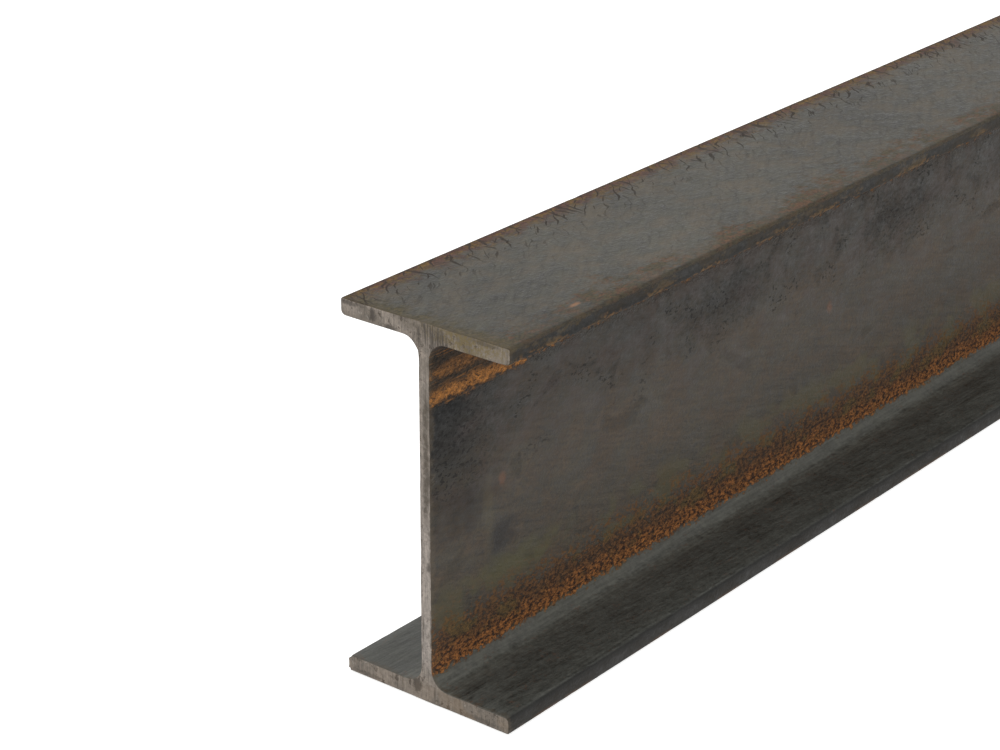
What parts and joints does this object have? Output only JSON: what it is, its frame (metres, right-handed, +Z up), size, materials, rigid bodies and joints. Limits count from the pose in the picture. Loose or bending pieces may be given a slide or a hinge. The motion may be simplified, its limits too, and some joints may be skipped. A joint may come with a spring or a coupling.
{
  "type": "steel i-beam",
  "caption": "Hot-rolled steel I-beam with parallel flanges, rounded root fillets and square-sawn ends, a straight length of structural stock.",
  "frame": {"origin": "middle of the underside of the bottom flange", "axes": "+Z up through the web's depth, +Y along the length, +X across the flanges"},
  "size_m": [0.082, 2, 0.16],
  "materials": {
    "steel": "hot-rolled mill scale, matt dark grey, with rust along the toes and the root of the web and lighter sawn ends"
  },
  "bodies": {
    "root": {"i_beam": "steel"}
  },
  "joints": []
}
